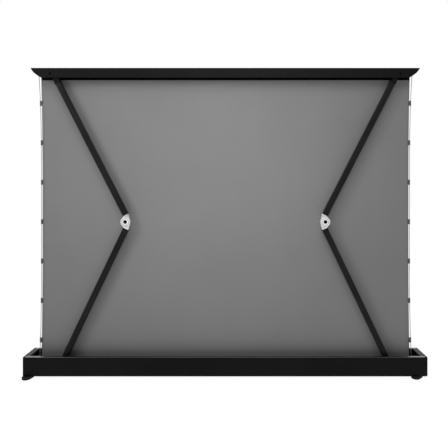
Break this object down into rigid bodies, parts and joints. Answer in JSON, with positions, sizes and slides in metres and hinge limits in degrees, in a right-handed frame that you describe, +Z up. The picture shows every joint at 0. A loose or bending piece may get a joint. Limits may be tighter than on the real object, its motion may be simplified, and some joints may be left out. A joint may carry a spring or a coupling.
{
  "type": "pull up projection screen",
  "caption": "Floor-standing projection screen that rises out of a long housing on inward-folding jointed arms, with a taut grey cloth held by edge cords and tabs.",
  "frame": {"origin": "centre of the footprint, on the floor under the housing", "axes": "+X along the housing, +Y towards the viewers (the arms are on the -Y side), +Z up"},
  "size_m": [2.456, 0.2378, 1.889],
  "materials": {
    "black_anodised_aluminium": "fine satin",
    "black_painted_tube": "semi-gloss",
    "cast_aluminium": "satin",
    "bright_steel": "bright",
    "black_steel": "satin",
    "black_plastic": "fine grained",
    "black_rubber": "matte",
    "grey_screen_cloth": "matte coated",
    "pale_cord": "braided",
    "grey_tab_plastic": "matte"
  },
  "bodies": {
    "housing": {"housing_rear_profile": "black_anodised_aluminium", "housing_front_profile": "black_anodised_aluminium", "housing_floor_plate": "black_steel", "housing_end_cap_left": "black_plastic", "arm_base_bracket_left": "black_steel", "base_pivot_pin_left": "bright_steel", "housing_end_cap_right": "black_plastic", "arm_base_bracket_right": "black_steel", "base_pivot_pin_right": "bright_steel", "arm_rest_block": "black_rubber", "idler_bracket": "black_steel", "motor_bracket": "black_steel", "tube_motor": "black_steel", "control_box": "black_plastic", "power_inlet": "black_plastic", "foot_bolt_rear_left": "black_steel", "foot_bolt_rear_right": "black_steel", "foot_bolt_front_right": "black_steel", "foot_bolt_front_left": "black_steel", "screen_cloth": "grey_screen_cloth", "edge_cord_left": "pale_cord", "cord_tabs_left": "grey_tab_plastic", "edge_cord_right": "pale_cord", "cord_tabs_right": "grey_tab_plastic"},
    "top_bar": {"top_bar_profile": "black_anodised_aluminium", "top_bar_end_cap_left": "black_plastic", "top_bracket_left": "black_steel", "top_pivot_pin_left": "bright_steel", "top_bar_screw_left": "black_steel", "top_bar_end_cap_right": "black_plastic", "top_bracket_right": "black_steel", "top_pivot_pin_right": "bright_steel", "top_bar_screw_right": "black_steel", "cloth_clamp_strip": "black_anodised_aluminium"},
    "roller": {"roller_tube": "black_anodised_aluminium", "wound_cloth": "grey_screen_cloth", "roller_idler_plug": "black_plastic", "motor_drive_adapter": "black_plastic"},
    "lower_arm_left": {"lower_arm_tube_left": "black_painted_tube", "lower_arm_base_knuckle_left": "black_anodised_aluminium", "knee_fork_left": "cast_aluminium", "knee_bolt_left": "black_steel", "knee_nut_left": "black_steel", "lift_spring_left": "bright_steel"},
    "upper_arm_left": {"upper_arm_tube_left": "black_painted_tube", "knee_tongue_left": "cast_aluminium", "upper_arm_top_knuckle_left": "black_anodised_aluminium"},
    "lower_arm_right": {"lower_arm_tube_right": "black_painted_tube", "lower_arm_base_knuckle_right": "black_anodised_aluminium", "knee_fork_right": "cast_aluminium", "knee_bolt_right": "black_steel", "knee_nut_right": "black_steel", "lift_spring_right": "bright_steel"},
    "upper_arm_right": {"upper_arm_tube_right": "black_painted_tube", "knee_tongue_right": "cast_aluminium", "upper_arm_top_knuckle_right": "black_anodised_aluminium"},
    "foot_rear_left": {"foot_rear_left": "black_plastic"},
    "foot_rear_right": {"foot_rear_right": "black_plastic"},
    "foot_front_right": {"foot_front_right": "black_plastic"},
    "foot_front_left": {"foot_front_left": "black_plastic"}
  },
  "joints": [
    {"name": "fold", "type": "hinge", "parent": "housing", "child": "lower_arm_left", "pos_m": [-1.037, -0.039, 0.057], "axis": [0, 1, 0], "range_deg": [0, 63.75], "stiffness_Nm_per_rad": 95, "springref_deg": -71.62, "deforming": ["screen_cloth", "edge_cord_left", "cord_tabs_left", "edge_cord_right", "cord_tabs_right"]},
    {"name": "knee_left", "type": "hinge", "parent": "lower_arm_left", "child": "upper_arm_left", "pos_m": [-0.613, -0.039, 0.9475], "axis": [0, 1, 0], "range_deg": [-127.5, 0]},
    {"name": "top_pivot_left", "type": "hinge", "parent": "upper_arm_left", "child": "top_bar", "pos_m": [-1.037, -0.039, 1.838], "axis": [0, 1, 0], "range_deg": [0, 63.75]},
    {"name": "fold_right", "type": "hinge", "parent": "housing", "child": "lower_arm_right", "pos_m": [1.037, -0.039, 0.057], "axis": [0, 1, 0], "range_deg": [-63.75, 0]},
    {"name": "knee_right", "type": "hinge", "parent": "lower_arm_right", "child": "upper_arm_right", "pos_m": [0.613, -0.039, 0.9475], "axis": [0, 1, 0], "range_deg": [0, 127.5]},
    {"name": "roller_spin", "type": "hinge", "parent": "housing", "child": "roller", "pos_m": [0, 0.0272, 0.062], "axis": [1, 0, 0], "range_deg": [0, 2677.5]},
    {"name": "foot_rear_left_swivel", "type": "hinge", "parent": "housing", "child": "foot_rear_left", "pos_m": [-1.186, -0.062, 0], "axis": [0, 0, 1], "range_deg": [-17, 118]},
    {"name": "foot_rear_right_swivel", "type": "hinge", "parent": "housing", "child": "foot_rear_right", "pos_m": [1.186, -0.062, 0], "axis": [0, 0, 1], "range_deg": [-32, 103]},
    {"name": "foot_front_right_swivel", "type": "hinge", "parent": "housing", "child": "foot_front_right", "pos_m": [1.186, 0.062, 0], "axis": [0, 0, 1], "range_deg": [-17, 118]},
    {"name": "foot_front_left_swivel", "type": "hinge", "parent": "housing", "child": "foot_front_left", "pos_m": [-1.186, 0.062, 0], "axis": [0, 0, 1], "range_deg": [-32, 103]}
  ],
  "couplings": [
    {"joint": "knee_left", "follows": "fold", "ratio": -2},
    {"joint": "top_pivot_left", "follows": "fold", "ratio": 1},
    {"joint": "fold_right", "follows": "fold", "ratio": -1},
    {"joint": "knee_right", "follows": "fold", "ratio": 2},
    {"joint": "roller_spin", "follows": "fold", "ratio": 42}
  ]
}
